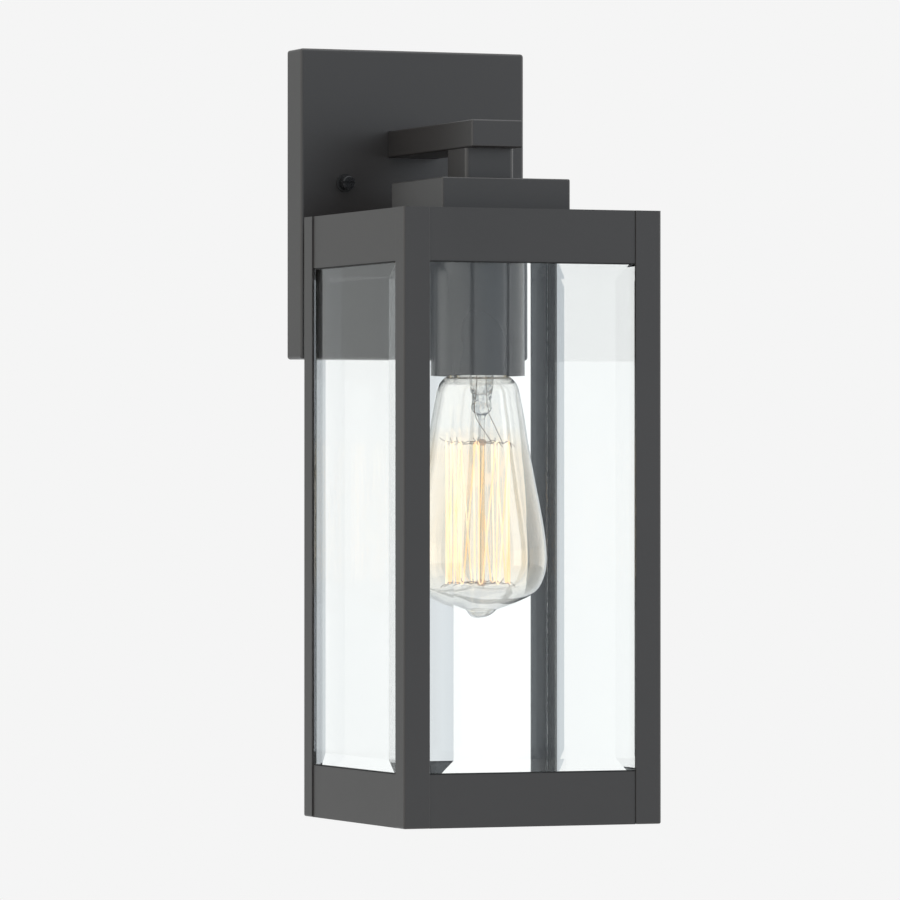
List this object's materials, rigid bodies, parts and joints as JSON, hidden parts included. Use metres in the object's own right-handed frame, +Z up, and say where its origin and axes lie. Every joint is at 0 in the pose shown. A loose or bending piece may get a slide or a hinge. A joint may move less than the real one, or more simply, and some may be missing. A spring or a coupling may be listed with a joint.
{
  "type": "outdoor wall lantern",
  "caption": "Square outdoor wall lantern: bevelled glass panes in a metal cage with an open bottom, hung from a box arm on a rectangular backplate, with a screw-in filament lamp.",
  "frame": {"origin": "centre of the outlet box on the wall's surface, midway between the two nuts that hold the backplate", "axes": "+Z up, +X to the right seen from the front, -Y out from the wall; the wall is the plane y = 0"},
  "size_m": [0.127, 0.1651, 0.3619],
  "materials": {
    "charcoal_paint": "matte fine-textured powder coat",
    "black_nuts": "semi-gloss",
    "pane_glass": "clear, polished bevels",
    "bulb_glass": "clear",
    "zinc_steel": "zinc plated",
    "green_steel": "green coated",
    "rubber": "matte",
    "porcelain": "glazed porcelain",
    "brass": "bright",
    "solder": "dull solder",
    "black_glass": "glossy",
    "filament": "glowing carbon",
    "support_wire": "drawn wire",
    "black_insulation": "smooth",
    "white_insulation": "smooth",
    "green_insulation": "smooth",
    "connector_plastic": "ribbed"
  },
  "bodies": {
    "lantern": {"arm": "charcoal_paint", "arm_doubler": "charcoal_paint", "backplate": "charcoal_paint", "bracket_screws": "zinc_steel", "cap": "charcoal_paint", "cap_nuts": "black_nuts", "centre_contact": "brass", "glass_back": "pane_glass", "glass_channel_back": "charcoal_paint", "glass_channel_front": "charcoal_paint", "glass_channel_left": "charcoal_paint", "glass_channel_right": "charcoal_paint", "glass_clips": "charcoal_paint", "glass_front": "pane_glass", "glass_left": "pane_glass", "glass_right": "pane_glass", "ground_screw": "green_steel", "lampholder_body": "porcelain", "lampholder_bracket": "zinc_steel", "lead_ground": "green_insulation", "lead_live": "black_insulation", "lead_neutral": "white_insulation", "mounting_strap": "zinc_steel", "mounting_studs": "zinc_steel", "neck": "charcoal_paint", "nipple_nuts": "zinc_steel", "nut_washers": "rubber", "post_back_left": "charcoal_paint", "post_back_right": "charcoal_paint", "post_front_left": "charcoal_paint", "post_front_right": "charcoal_paint", "rail_bottom_back": "charcoal_paint", "rail_bottom_front": "charcoal_paint", "rail_bottom_left": "charcoal_paint", "rail_bottom_right": "charcoal_paint", "rail_top_back": "charcoal_paint", "rail_top_front": "charcoal_paint", "rail_top_left": "charcoal_paint", "rail_top_right": "charcoal_paint", "roof_plate": "charcoal_paint", "screw_shell": "brass", "socket_cover": "charcoal_paint", "stud_lock_nuts": "zinc_steel", "threaded_nipple": "zinc_steel", "wall_gasket": "rubber", "wire_connectors": "connector_plastic"},
    "bulb_end": {"bulb_contact": "solder"},
    "bulb": {"bulb_glass": "bulb_glass", "bulb_base": "brass", "bulb_insulator": "black_glass", "bulb_stem": "bulb_glass", "bulb_filament": "filament", "bulb_hooks": "support_wire", "bulb_leads": "support_wire"}
  },
  "joints": [
    {"name": "bulb_travel", "type": "slide", "parent": "lantern", "child": "bulb_end", "axis": [0, 0, -1], "range_m": [0, 0.01815]},
    {"name": "bulb_turn", "type": "hinge", "parent": "bulb_end", "child": "bulb", "pos_m": [0, -0.1016, -0.08], "axis": [0, 0, -1], "range_deg": [0, 1800]}
  ],
  "couplings": [
    {"joint": "bulb_travel", "follows": "bulb_turn", "m_per_rad": 0.00057757}
  ]
}
